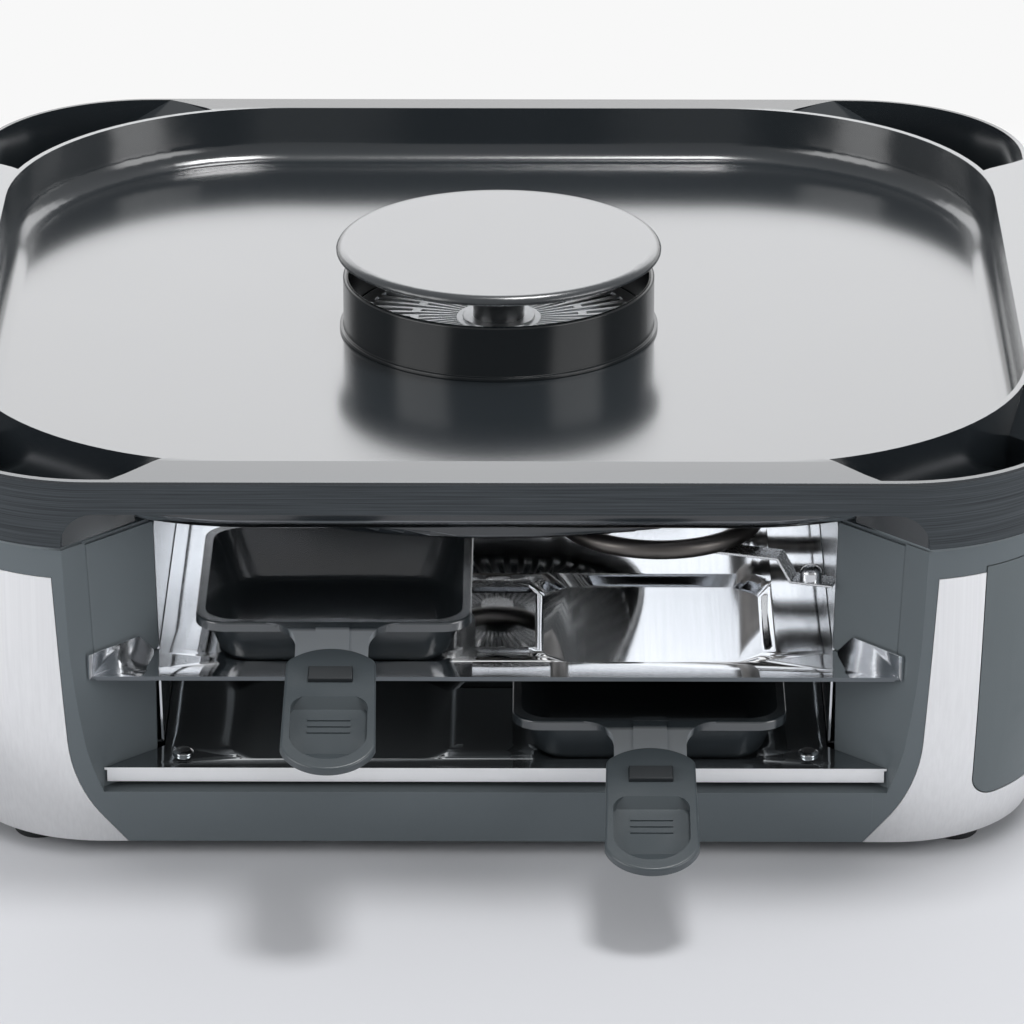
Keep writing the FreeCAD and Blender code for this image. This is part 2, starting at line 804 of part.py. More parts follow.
def bottom_screws():
    r = screw_head_r
    head = revolved((0, 0), (r - 0.6, 0), (r, 0.6), (r, screw_head), (0, screw_head))
    near = bottom_screw_near
    far = bottom_screw_far
    spots = [(far, near), (far, -near), (-far, near), (-far, -near),
             (near, far), (-near, far), (near, -far), (-near, -far)]
    return Part.makeCompound([head.translated(V(x, y, foot_height - screw_head)) for x, y in spots])


def shelf_screws():
    r = screw_head_r
    head = revolved((0, 0), (r, 0), (r, 0.8), (r - 1.0, screw_head), (0, screw_head))
    return Part.makeCompound([head.translated(V(x, y, low_shelf_top))
                              for x in (-screw_x, screw_x) for y in (-screw_y, screw_y)])


# Shelves: sheet steel with four drawn pan seats, joined in pairs by a shallow channel
def shelf(top, front, front_half):
    turn_y = throat_y
    side = (throat_x(top) if top > mouth_low_z else low_jamb_x(turn_y, top - shelf_sheet)) - shelf_side_gap
    low = top - shelf_sheet
    plan = [(front_half, -front), (side, -turn_y), (side, turn_y), (front_half, front),
            (-front_half, front), (-side, turn_y), (-side, -turn_y), (-front_half, -front)]
    plate = Part.Face(outline(*[V(x, y, low) for x, y in plan])).extrude(V(0, 0, shelf_sheet))
    formed = []
    drawn = []
    seat_top = (seat_half_x, seat_half_y)
    seat_low = (seat_floor_half_x, seat_floor_half_y)
    for x in (-seat_x, seat_x):
        for y in (-seat_y, seat_y):
            seat = tray(seat_top, seat_low, seat_corner_r, top, top - seat_depth)
            drawn.append(seat.translated(V(x, y, 0)))
            formed.append(seat.translated(V(x, y, -shelf_sheet)))
    for y in (-seat_y, seat_y):
        link = tray((link_half_x + 1, link_half_y + 1.2), (link_half_x, link_half_y), link_corner_r,
                    top, top - link_depth)
        drawn.append(link.translated(V(0, y, 0)))
        formed.append(link.translated(V(0, y, -shelf_sheet)))
    return fuse([plate] + formed).cut(Part.makeCompound(drawn))


def mid_shelf():
    front_half = jamb_x(mid_shelf_front, mid_shelf_top) - shelf_side_gap
    sheet = shelf(mid_shelf_top, mid_shelf_front, front_half)
    hem_half = front_half - hem_width
    hem = box((-hem_half, -mid_shelf_front, mid_shelf_top - hem_thick),
              (hem_half, -mid_shelf_front + hem_width, mid_shelf_top - shelf_sheet + 0.01))
    run_x = front_half - throat_x(mid_shelf_top) + shelf_side_gap
    run_y = mid_shelf_front - throat_y
    length = math.hypot(run_x, run_y)
    top = flange_height
    flange = Part.Face(outline(V(0, 0, -shelf_sheet), V(length - 4, 0, -shelf_sheet), V(length - 4, 0, 1.0),
                               V(length - 11, 0, top), V(0, 0, top))).extrude(V(0, shelf_sheet, 0))
    flange.rotate(ORIGIN, UP, math.degrees(math.atan2(run_y, -run_x)))
    flange.translate(V(front_half, -mid_shelf_front, mid_shelf_top))
    right = [flange, mirror_y(flange)]
    hems = [hem, mirror_y(hem)]
    return fuse([sheet] + hems + right + [mirror_x(piece) for piece in right])


def lower_shelf():
    front_half = low_jamb_x(low_shelf_front, low_shelf_top - low_strip_height) - shelf_side_gap
    sheet = shelf(low_shelf_top, low_shelf_front, front_half)
    strip_half = front_half - shelf_sheet
    strip = box((-strip_half, -low_shelf_front, low_shelf_top - low_strip_height),
                (strip_half, -low_shelf_front + shelf_sheet, low_shelf_top))
    return fuse([sheet, strip, mirror_y(strip)])


# Linings of the opening
def reflector_right():
    low = low_shelf_top + 0.4
    high = body_top - housing_wall
    back = throat_top_x + 3 - 0.1
    sheet = reflector_sheet
    x_low = throat_x(low)
    x_high = throat_x(high)
    wall = prism_y([(x_low, low), (x_low + sheet, low), (x_high + sheet, high), (x_high, high)], -1, 1)
    top_lip = box((x_high, -1, high - sheet), (back, 1, high))
    low_lip = box((x_low, -1, low), (back, 1, low + sheet))
    half = throat_y - 2.2
    strip = fuse([wall, top_lip, low_lip]).common(box((0, 0, 0), (reach, 1, above)))
    face = [f for f in strip.Faces if abs(f.CenterOfMass.y) < 1e-6 and abs(f.normalAt(0, 0).y) > 0.9][0]
    return face.translated(V(0, -half, 0)).extrude(V(0, 2 * half, 0))


def terminal_holes():
    low = throat_low_x - 5
    high = throat_top_x + 10
    return [rod_x(low, high, y, element_z, element_r + 0.6) for y in (-terminal_y, terminal_y)]


def jamb_liner():
    """Lining plate of the front right jamb above the middle shelf."""
    tool = opening_tool(body_top + 5)
    zone = box((throat_foot_x - 5, -liner_front_y, mid_shelf_top + 0.4), (plate_half, -throat_y, body_top - 1.0))
    return tool.translated(V(liner_sheet, 0, 0)).cut(tool).common(zone)


def liner_recess():
    tool = opening_tool(body_top + 5).translated(V(liner_sheet + 0.1, 0, 0))
    zone = box((0, -liner_front_y - liner_slit, mid_shelf_top - 0.1), (plate_half, -throat_y + 4, body_top + 1))
    recess = tool.common(zone)
    return fuse([recess, mirror_y(recess)])


# Heating element: one tube in four lobes over the pan seats, with both ends in the right tower
def element_path():
    out = lobe_x + lobe_r
    inn = lobe_x - lobe_r
    bend = element_bend_r
    slant = bend * (1 - math.sqrt(0.5))
    z = element_z
    y0 = terminal_y
    far = lobe_y
    near = short_lobe_y
    waist = element_waist_y
    steps = [V(out + bend, -y0, z),
             (V(out + slant, -y0 - slant, z), V(out, -y0 - bend, z)), V(out, -far, z),
             (V(lobe_x, -far - lobe_r, z), V(inn, -far, z)), V(inn, -waist, z),
             (V(0, -waist + inn, z), V(-inn, -waist, z)), V(-inn, -near, z),
             (V(-lobe_x, -near - lobe_r, z), V(-out, -near, z)), V(-out, far, z),
             (V(-lobe_x, far + lobe_r, z), V(-inn, far, z)), V(-inn, waist, z),
             (V(0, waist - inn, z), V(inn, waist, z)), V(inn, near, z),
             (V(lobe_x, near + lobe_r, z), V(out, near, z)), V(out, y0 + bend, z),
             (V(out + slant, y0 + slant, z), V(out + bend, y0, z)), V(terminal_end_x, y0, z)]
    edges = []
    here = V(terminal_end_x, -y0, z)
    for step in steps:
        if isinstance(step, tuple):
            edges.append(Part.Arc(here, step[0], step[1]).toShape())
            here = step[1]
        else:
            edges.append(Part.makeLine(here, step))
            here = step
    return Part.Wire(edges)


def heating_element():
    path = element_path()
    start = V(terminal_end_x, -terminal_y, element_z)
    ring = Part.Wire(Part.makeCircle(element_r, start, V(1, 0, 0)))
    tube = path.makePipeShell([ring], True, True)
    print("element: volume over section times length",
          round(tube.Volume / (math.pi * element_r ** 2 * path.Length), 4))
    return tube


def bracket_start():
    return V(throat_x(bracket_z) - fit_gap, -throat_y, 0)


def long_lobe_hold():
    """Point of the right front lobe that a bracket holds."""
    slant = lobe_r * math.sqrt(0.5)
    return V(lobe_x + slant, -lobe_y - slant, 0)


def bracket():
    """Sheet strip from the front right jamb: a level tab, a bend, and an arm under the tube."""
    start = bracket_start()
    hold = long_lobe_hold()
    tab = bracket_tab
    end = start.distanceToPoint(hold) + bracket_width / 2
    up = element_z - element_r - 0.1
    s = bracket_sheet
    z = bracket_z
    bend = tab + bracket_rise_run
    profile = [(0, z), (tab, z), (bend, up), (end, up), (end, up - s), (bend + 0.6, up - s),
               (tab + 0.6, z - s), (0, z - s)]
    arm = prism_y(profile, -bracket_width / 2, bracket_width / 2)
    arm.rotate(ORIGIN, UP, math.degrees(math.atan2(hold.y - start.y, hold.x - start.x)))
    arm.translate(start)
    return arm.common(box((0, -reach, 0), (start.x, reach, above)))


def bracket_nuts():
    start = bracket_start()
    spot = start + (long_lobe_hold() - start).normalize() * nut_from_jamb
    nut = revolved((0, 0), (nut_r, 0), (nut_r, nut_height * 0.55),
                   ((nut_r * 0.78, nut_height * 0.86), (nut_r * 0.3, nut_height)), (0, nut_height))
    return Part.makeCompound(two_turns(nut.translated(V(spot.x, spot.y, bracket_z))))


def two_turns(shape):
    return [shape, shape.rotated(ORIGIN, UP, 180)]


def four_corners(shape):
    pair = [shape, mirror_y(shape)]
    return Part.makeCompound(pair + [mirror_x(piece) for piece in pair])


def terminal_block():
    back = throat_top_x + 6
    half = terminal_block_half
    body = box((back, -half, element_z - 8), (terminal_end_x + 12, half, element_z + 8))
    room = box((back - 1, -half + 6, element_z - 9), (terminal_end_x + 0.2, half - 6, element_z + 9))
    return body.cut(room)


def plate_pads():
    pad = Part.makeCylinder(plate_pad_r, bowl_under_z - body_top, V(plate_pad_x, -plate_pad_y, body_top))
    return four_corners(pad)


# Pans and their handles, made about the pan's centre with the rim's top at height 0
def sloped(shape):
    """From the neck's own frame (x across, -y along, z off its top face) to the pan's frame."""
    shape.rotate(ORIGIN, V(1, 0, 0), neck_slope_deg)
    shape.translate(V(0, -pan_half_y, 0))
    return shape


def flat_prism(points, low, high):
    """Prism of an outline in the neck's frame; points are (across, along) pairs."""
    def place(point):
        return V(point[0], -point[1], low)

    lifted = [(place(p[0]), place(p[1])) if isinstance(p[0], tuple) else place(p) for p in points]
    return Part.Face(outline(*lifted)).extrude(V(0, 0, high - low))


def pan():
    under = -pan_height
    under_rim = pan_rim_flat - 0.1
    wall = tray((pan_half_x - under_rim, pan_half_y - under_rim), (pan_floor_half_x, pan_floor_half_y),
                pan_floor_corner_r, -pan_rim + 0.5, under)
    low_edges = [e for e in wall.Edges if all(abs(v.Z - under) < 1e-6 for v in e.Vertexes)]
    wall = wall.makeFillet(pan_floor_fillet, low_edges)
    rim = Part.Face(rounded_rectangle(pan_half_x, pan_half_y, pan_corner_r, -pan_rim)).extrude(V(0, 0, pan_rim))
    top_edges = [e for e in rim.Edges if all(abs(v.Z) < 1e-6 for v in e.Vertexes)]
    rim = rim.makeFillet(0.9, top_edges)
    floor = under + pan_wall
    cavity = tray((pan_half_x - pan_rim_flat, pan_half_y - pan_rim_flat),
                  (pan_floor_half_x - pan_wall, pan_floor_half_y - pan_wall),
                  pan_floor_corner_r - 1.0, 0.01, floor)
    floor_edges = [e for e in cavity.Edges if all(abs(v.Z - floor) < 1e-6 for v in e.Vertexes)]
    cavity = cavity.makeFillet(pan_floor_fillet - 1.2, floor_edges)
    flare = neck_flare_r
    slant = flare * math.sqrt(0.5)
    wide = neck_half + flare
    neck = sloped(flat_prism([(-wide, 0), ((-wide + slant, flare - slant), (-neck_half, flare)),
                              (-neck_half, neck_length), (neck_half, neck_length), (neck_half, flare),
                              ((wide - slant, flare - slant), (wide, 0))], -neck_sheet, 0))
    tongue = sloped(flat_prism([(-tongue_half, 0), (-tongue_half, neck_length - 4),
                                (tongue_half, neck_length - 4), (tongue_half, 0)], -0.5, tongue_rise))
    lip = box((-tongue_half, -pan_half_y - 0.2, -0.5), (tongue_half, -pan_half_y + pan_rim_flat, tongue_rise))
    return fuse([wall, rim, neck, tongue, lip]).cut(cavity)


def handle_outline(inset, end_inset):
    """Plan of a handle: round shoulder, corners that run smoothly into the sides, round end."""
    front = handle_start + inset
    end = handle_start + handle_length - end_inset
    half_front = handle_half_front - inset
    corner_r = handle_corner_r
    lean = math.atan((handle_half_back - handle_half_front) / (handle_length - handle_end_rise))
    centre_x = half_front - corner_r * math.cos(lean)
    rise = math.sqrt((handle_shoulder_r - corner_r) ** 2 - centre_x ** 2)
    centre_y = front + handle_shoulder_r - rise
    share = handle_shoulder_r / (handle_shoulder_r - corner_r)
    shoulder = (centre_x * share, front + handle_shoulder_r - rise * share)
    corner = (half_front, centre_y - corner_r * math.sin(lean))
    turn = (math.atan2(-rise, centre_x) - lean) / 2
    bend = (centre_x + corner_r * math.cos(turn), centre_y + corner_r * math.sin(turn))
    back_y = end - handle_end_rise
    back = (half_front + (back_y - corner[1]) * math.tan(lean), back_y)

    def left(point):
        return (-point[0], point[1])

    return [left(shoulder), ((0, front), shoulder), (bend, corner), back,
            ((0, end), left(back)), left(corner), (left(bend), left(shoulder))]


def handle_wire(inset, end_inset, height):
    """The handle's plan, set in by `inset`, as a wire in the neck's frame."""
    def place(point):
        return V(point[0], -point[1], height)

    points = handle_outline(inset, end_inset)
    return outline(*[(place(p[0]), place(p[1])) if isinstance(p[0], tuple) else place(p) for p in points])


def handle():
    top = handle_above_neck
    edge_low = top - handle_edge
    low = top - handle_thick
    body = flat_prism(handle_outline(0, 0), edge_low, top)
    rim_edges = [e for e in body.Edges if all(abs(v.Z - top) < 1e-6 for v in e.Vertexes)]
    body = body.makeFillet(handle_edge_r, rim_edges)
    lip = handle_belly_lip
    belly = Part.makeLoft([handle_wire(lip, lip, edge_low + 0.5),
                           handle_wire(handle_belly_inset, handle_belly_end_inset, low)], True, True)
    start = handle_start + grip_start
    end = start + grip_length
    half = grip_half
    corner = grip_corner_r
    cut = corner * (1 - math.sqrt(0.5))
    back = end - grip_end_rise
    plan = flat_prism([(-half + corner, start), (half - corner, start),
                       ((half - cut, start + cut), (half, start + corner)), (half, back), ((0, end), (-half, back)),
                       (-half, start + corner), ((-half + cut, start + cut), (-half + corner, start))],
                      low, top + 1)
    floor = top - grip_depth
    scoop = Part.Face(outline(V(0, -start, top + 1), V(0, -start - 0.5, top), V(0, -start - 4, floor),
                              V(0, -end + 7, floor), V(0, -end + 0.2, top - 0.3), V(0, -end, top + 1)))
    scoop = scoop.extrude(V(2 * half, 0, 0)).translated(V(-half, 0, 0))
    ridges = []
    for index in range(3):
        along = handle_start + grip_ridge_start + index * grip_ridge_pitch
        ridges.append(box((-grip_ridge_half, -along - 0.7, floor - 0.5),
                          (grip_ridge_half, -along + 0.7, floor + 0.5)))
    fit = handle_fit
    slot = box((-neck_half - fit, -neck_length - fit, -neck_sheet - fit), (neck_half + fit, 0, fit))
    tongue_slot = box((-tongue_half - fit, -neck_length + 4 - fit, 0), (tongue_half + fit, 0, tongue_rise + fit))
    body = fuse([body, belly]).cut(plan.common(scoop)).fuse(ridges)
    return sloped(body.cut(slot).cut(tongue_slot).cut(nub_box(fit)).removeSplitter())


def nub_box(grow):
    near = handle_start + nub_start - grow
    far = handle_start + nub_start + nub_length + grow
    top = handle_above_neck
    half = nub_half + grow
    return box((-half, -far, top - nub_sink), (half, -near, top + nub_rise))


def nub():
    block = nub_box(0)
    upper = [e for e in block.Edges if all(abs(v.Z - handle_above_neck - nub_rise) < 1e-6 for v in e.Vertexes)]
    return sloped(block.makeFillet(0.5, upper))


def place_pan(shape, side, level):
    """Set a pan's piece in a front seat: side -1 left or 1 right, level upper or lower."""
    play = pan_play[level]
    return shape.translated(V(side * seat_x + play[0], -seat_y + play[1], seat_floor_z[level] + pan_height))


right_tower = tower_right().cut(liner_recess()).cut(base_room())
left_tower = mirror_x(right_tower)
right_tower = right_tower.cut(panel_room()).cut(Part.makeCompound(control_holes() + terminal_holes()))
front_right_liner = jamb_liner()
plain_reflector = reflector_right()

parts = {
    "grill_plate": grill_plate(),
    "chimney_ring": chimney_ring(),
    "chimney_grille": chimney_grille(),
    "chimney_cap": chimney_cap(),
    "right_tower": right_tower,
    "left_tower": left_tower,
    "right_cover": right_cover(),
    "left_cover": left_cover(),
    "control_panel": control_panel(),
    "thermostat_knob": thermostat_knob(),
    "knob_shaft": knob_shaft(),
    "thermostat": thermostat(),
    "indicator_lamp": indicator_lamp(),
    "cord_gland": cord_gland(),
    "front_sill": front_sill(),
    "rear_sill": mirror_y(front_sill()),
    "base_pan": base_pan(),
    "feet": feet(),
    "bottom_screws": bottom_screws(),
    "shelf_screws": shelf_screws(),
    "mid_shelf": mid_shelf(),
    "lower_shelf": lower_shelf(),
    "right_reflector": plain_reflector.cut(Part.makeCompound(terminal_holes())),
    "left_reflector": mirror_x(plain_reflector),
    "front_right_liner": front_right_liner,
    "front_left_liner": mirror_x(front_right_liner),
    "rear_right_liner": mirror_y(front_right_liner),
    "rear_left_liner": mirror_y(mirror_x(front_right_liner)),
    "heating_element": heating_element(),
    "element_brackets": Part.makeCompound(two_turns(bracket())),
    "bracket_nuts": bracket_nuts(),
    "terminal_block": terminal_block(),
    "plate_pads": plate_pads(),
}
for level, side in (("upper", -1), ("lower", 1)):
    parts[level + "_pan"] = place_pan(pan(), side, level)
    parts[level + "_pan_handle"] = place_pan(handle(), side, level)
    parts[level + "_pan_nub"] = place_pan(nub(), side, level)

os.makedirs("parts", exist_ok=True)
for name, shape in parts.items():
    shape.exportStep("parts/" + name + ".step")
    print(name, len(shape.Solids), round(shape.Volume / 1000, 1), shape.isValid())
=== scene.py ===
import json
import math

import bmesh
import bpy
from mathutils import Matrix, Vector


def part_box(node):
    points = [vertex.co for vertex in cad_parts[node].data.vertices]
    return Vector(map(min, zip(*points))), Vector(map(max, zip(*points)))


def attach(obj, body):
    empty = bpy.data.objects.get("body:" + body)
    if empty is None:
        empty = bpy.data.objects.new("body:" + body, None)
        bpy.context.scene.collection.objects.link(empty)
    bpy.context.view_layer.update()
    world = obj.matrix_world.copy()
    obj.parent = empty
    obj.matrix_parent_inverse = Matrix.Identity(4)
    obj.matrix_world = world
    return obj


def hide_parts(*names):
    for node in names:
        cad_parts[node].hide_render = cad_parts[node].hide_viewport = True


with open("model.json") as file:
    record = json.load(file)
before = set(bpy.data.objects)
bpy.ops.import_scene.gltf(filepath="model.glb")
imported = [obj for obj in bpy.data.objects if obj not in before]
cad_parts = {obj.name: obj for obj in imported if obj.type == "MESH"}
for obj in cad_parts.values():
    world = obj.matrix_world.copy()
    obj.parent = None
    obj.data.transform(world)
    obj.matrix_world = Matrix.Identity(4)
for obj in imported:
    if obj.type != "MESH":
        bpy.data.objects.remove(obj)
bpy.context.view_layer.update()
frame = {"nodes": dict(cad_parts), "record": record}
nodes = frame["nodes"]
scene = bpy.context.scene
scene.view_settings.view_transform = "Standard"

# Camera: a long lens from the front, looking down
PHOTO_PX = 1024
FOCAL_PX = 6605.078
SENSOR_MM = 36.0
CLIP_NEAR = 0.05
CLIP_FAR = 50.0
CAMERA_AT = (0.01596, -2.40296, 1.03646)
PITCH_DEG = 22.203
YAW_DEG = 0.258


def add_camera():
    data = bpy.data.cameras.new("camera")
    data.sensor_width = SENSOR_MM
    data.lens = FOCAL_PX / PHOTO_PX * SENSOR_MM
    data.clip_start = CLIP_NEAR
    data.clip_end = CLIP_FAR
    camera = bpy.data.objects.new("camera", data)
    camera.location = CAMERA_AT
    camera.rotation_euler = (math.radians(90 - PITCH_DEG), 0, math.radians(YAW_DEG))
    scene.collection.objects.link(camera)
    scene.camera = camera


# Places on the object that its materials follow, in metres
CORNER_CENTRE = 0.145       # the plate's four corner centres lie this far out along X and Y
BAND_FROM = 0.0685          # the brushed band starts this far outside them
NECK_FROM = 0.2             # a pan's neck starts this far in front of the middle
NECK_BLEND = 0.002

# Where most of a noise texture's values lie, and the same with less or more contrast
MIDDLE = (0.3, 0.7)
WIDE = (0.2, 0.8)
NARROW = (0.35, 0.65)

# Steepness, as one axis of a surface's direction, over which a finish ends
FACES_DOWN = (-0.6, -0.4)
FACES_FRONT = (-0.95, -0.85)
STANDS_UPRIGHT = (0.1, 0.2)


# Materials
class Graph:
    """Shorthand for building a material's node tree."""

    def __init__(self, name):
        self.material = bpy.data.materials.new(name)
        self.material.use_nodes = True
        self.tree = self.material.node_tree
        self.shader = self.tree.nodes["Principled BSDF"]
        self.surface = self.tree.nodes["Material Output"].inputs["Surface"]
        self.coords = self.tree.nodes.new("ShaderNodeTexCoord").outputs["Object"]

    def give(self, socket, value):
        """Link an input to a socket, or set it to a plain value."""
        if isinstance(value, bpy.types.NodeSocket):
            self.tree.links.new(value, socket)
        else:
            socket.default_value = value

    def add(self, kind, **inputs):
        node = self.tree.nodes.new("ShaderNode" + kind)
        for key, value in inputs.items():
            self.give(node.inputs[key.replace("_", " ")], value)
        return node

    def set(self, **inputs):
        """Set the main shader's inputs."""
        for key, value in inputs.items():
            self.give(self.shader.inputs[key.replace("_", " ")], value)

    def math(self, operation, first, second=0.0):
        node = self.add("Math")
        node.operation = operation
        self.give(node.inputs[0], first)
        self.give(node.inputs[1], second)
        return node.outputs[0]

    def place(self):
        """The piece's own X, Y and Z at each point."""
        return self.add("SeparateXYZ", Vector=self.coords).outputs

    def normal(self, axis):
        """One axis of the surface's own direction."""
        flat = self.add("NewGeometry").outputs["True Normal"]
        return self.add("SeparateXYZ", Vector=flat).outputs[axis]

    def noise(self, scale, detail=2.0):
        return self.add("TexNoise", Scale=scale, Detail=detail, Vector=self.coords).outputs["Fac"]

    def streaks(self, scale, rough):
        """Noise with a scale of its own along each axis."""
        stretched = self.add("Mapping", Vector=self.coords, Scale=scale).outputs["Vector"]
        node = self.add("TexNoise", Scale=1.0, Detail=4.0, Roughness=rough, Vector=stretched)
        return node.outputs["Fac"]

    def ramp(self, value, low, high, span=MIDDLE):
        """A number that goes from low to high as value crosses the span."""
        node = self.add("MapRange", Value=value, To_Min=low, To_Max=high, From_Min=span[0], From_Max=span[1])
        return node.outputs["Result"]

    def tone(self, value, first, second, span=MIDDLE):
        """A colour that goes from first to second as value crosses the span."""
        node = self.add("Mix")
        node.data_type = "RGBA"
        self.give(node.inputs["Factor"], self.ramp(value, 0, 1, span))
        for socket in node.inputs:
            if socket.type == "RGBA":
                socket.default_value = first if socket.name == "A" else second
        return next(socket for socket in node.outputs if socket.type == "RGBA")

    def bump(self, height, strength, distance):
        return self.add("Bump", Height=height, Strength=strength, Distance=distance).outputs["Normal"]

    def finish(self, color, rough, metallic=0.0):
        """A second finish, for over()."""
        return self.add("BsdfPrincipled", Base_Color=color, Roughness=rough, Metallic=metallic).outputs[0]

    def over(self, share, finish):
        """Lay another finish over the surface where share is 1."""
        mixed = self.add("MixShader", Fac=share)
        self.give(mixed.inputs[1], self.surface.links[0].from_socket)
        self.give(mixed.inputs[2], finish)
        self.give(self.surface, mixed.outputs[0])

    def under_side(self, color, rough, metallic):
        self.over(self.ramp(self.normal("Z"), 1, 0, FACES_DOWN), self.finish(color, rough, metallic))

    def front_edge(self, color, rough, metallic):
        self.over(self.ramp(self.normal("Y"), 1, 0, FACES_FRONT), self.finish(color, rough, metallic))


def rgb(red, green, blue):
    """Linear colour of an 8-bit display colour."""
    def linear(value):
        share = value / 255
        return share / 12.92 if share <= 0.04045 else ((share + 0.055) / 1.055) ** 2.4

    return (linear(red), linear(green), linear(blue), 1.0)


def shade(color, factor):
    return (color[0] * factor, color[1] * factor, color[2] * factor, 1.0)


def plastic(name, color, rough, grain=1400.0, depth=0.00004, spec=0.45):
    """Moulded plastic: fine spark-eroded grain and a faint cloud in tone and gloss."""
    g = Graph(name)
    g.set(Base_Color=g.tone(g.noise(9.0, 3.0), shade(color, 0.93), shade(color, 1.07)),
          Roughness=g.ramp(g.noise(60.0, 3.0), rough - 0.05, rough + 0.05),
          Specular_IOR_Level=spec,
          Normal=g.bump(g.noise(grain), 0.5, depth))
    return g.material


def brushed(name, color, rough, depth=0.00003, spread=0.06):
    """Brushed metal: long fine scratches along one direction."""
    g = Graph(name)
    lines = g.streaks((900.0, 900.0, 9.0), 0.6)
    cloud = g.noise(7.0)
    g.set(Base_Color=g.tone(lines, shade(color, 0.97), shade(color, 1.02), NARROW),
          Roughness=g.math("ADD", g.ramp(lines, -spread, spread), g.ramp(cloud, rough - 0.02, rough + 0.02)),
          Metallic=1.0,
          Normal=g.bump(lines, 0.15, depth))
    return g.material


def coated(name, color, rough, coat=0.0):
    """Cast metal under a dark non-stick coat: satin, with a fine orange peel."""
    g = Graph(name)
    g.set(Base_Color=g.tone(g.noise(12.0, 4.0), shade(color, 0.94), shade(color, 1.06), WIDE),
          Roughness=g.ramp(g.noise(35.0, 1.0), rough - 0.005, rough + 0.005, WIDE),
          Specular_IOR_Level=0.6, Coat_Weight=coat, Coat_Roughness=rough,
          Normal=g.bump(g.noise(1500.0), 0.3, 0.00001))
    return g.material


def beyond_corners(g):
    """How far a point lies outside the square of the plate's corner centres."""
    place = g.place()
    sides = [g.math("SUBTRACT", g.math("ABSOLUTE", place[axis]), CORNER_CENTRE) for axis in ("X", "Y")]
    squares = [g.math("POWER", g.math("MAXIMUM", side, 0.0), 2.0) for side in sides]
    return g.math("SQRT", g.math("ADD", *squares))


def plate_metal():
    """Dark coat above, a finely brushed band round the side, bare cast metal below."""
    g = Graph("plate_coat")
    g.set(Base_Color=rgb(38, 43, 47), Roughness=g.ramp(g.noise(14.0, 3.0), 0.165, 0.18),
          Specular_IOR_Level=0.6, Coat_Weight=0.8, Coat_Roughness=0.17,
          Normal=g.bump(g.noise(1300.0), 0.3, 0.00001))
    lines = g.streaks((14.0, 14.0, 1800.0), 0.65)
    band = g.finish(g.tone(lines, rgb(36, 41, 45), rgb(74, 80, 84)), g.ramp(lines, 0.5, 0.34), 0.35)
    outside = g.math("GREATER_THAN", beyond_corners(g), BAND_FROM)
    upright = g.ramp(g.math("ABSOLUTE", g.normal("Z")), 1, 0, STANDS_UPRIGHT)
    g.over(g.math("MULTIPLY", outside, upright), band)
    g.under_side(rgb(192, 194, 197), 0.16, 1.0)
    return g.material


def grille_metal():
    """Satin steel, darker on the side that faces down."""
    g = Graph("grille_steel")
    lines = g.noise(300.0, 3.0)
    g.set(Base_Color=g.tone(lines, rgb(226, 228, 230), rgb(236, 238, 240)),
          Roughness=g.ramp(lines, 0.34, 0.38), Metallic=1.0)
    g.under_side(rgb(46, 50, 53), 0.5, 0.4)
    return g.material


def shelf_mirror():
    """Polished sheet: bright above, satin on its front edge; its underside is dark, which is painted shade.
    """
    g = Graph("mirror_steel")
    lines = g.streaks((900.0, 9.0, 900.0), 0.6)
    g.set(Base_Color=g.tone(lines, rgb(236, 238, 240), rgb(244, 245, 247)),
          Roughness=g.ramp(lines, 0.04, 0.06), Metallic=1.0)
    # Painted shade: a dark underside, so the shelf below it reflects shade.
    g.under_side(rgb(44, 48, 51), 0.3, 0.7)
    g.front_edge(rgb(108, 113, 117), 0.3, 0.8)
    return g.material


def shelf_enamel():
    """Dark polished sheet with a satin steel strip along the front."""
    g = Graph("shelf_enamel")
    g.set(Base_Color=g.tone(g.noise(11.0), rgb(146, 152, 156), rgb(156, 162, 166)),
          Roughness=g.ramp(g.noise(40.0), 0.05, 0.07), Metallic=0.9)
    g.front_edge(rgb(246, 247, 248), 0.36, 0.6)
    return g.material


def pan_enamel():
    """Dark gloss enamel; the bridge to the handle is satin, and its lighter colour is a painted reflection
    of the sky.
    """
    g = Graph("pan_enamel")
    cloud = g.noise(20.0)
    g.set(Base_Color=g.tone(cloud, rgb(46, 52, 56), rgb(54, 60, 64), WIDE),
          Roughness=g.ramp(cloud, 0.24, 0.27),
          Specular_IOR_Level=1.0, Coat_Weight=1.0, Coat_Roughness=0.14,
          Normal=g.bump(g.noise(1300.0, 1.0), 0.5, 0.00005))
    # Painted reflection: the neck's lighter grey stands in for the sky it reflects; the neck is the same
    # enamel as the pan.
    neck_painted_reflection = g.ramp(g.place()["Y"], 1, 0, (-NECK_FROM - NECK_BLEND, -NECK_FROM))
    g.over(neck_painted_reflection, g.finish(rgb(206, 212, 217), 0.38, 0.7))
    return g.material


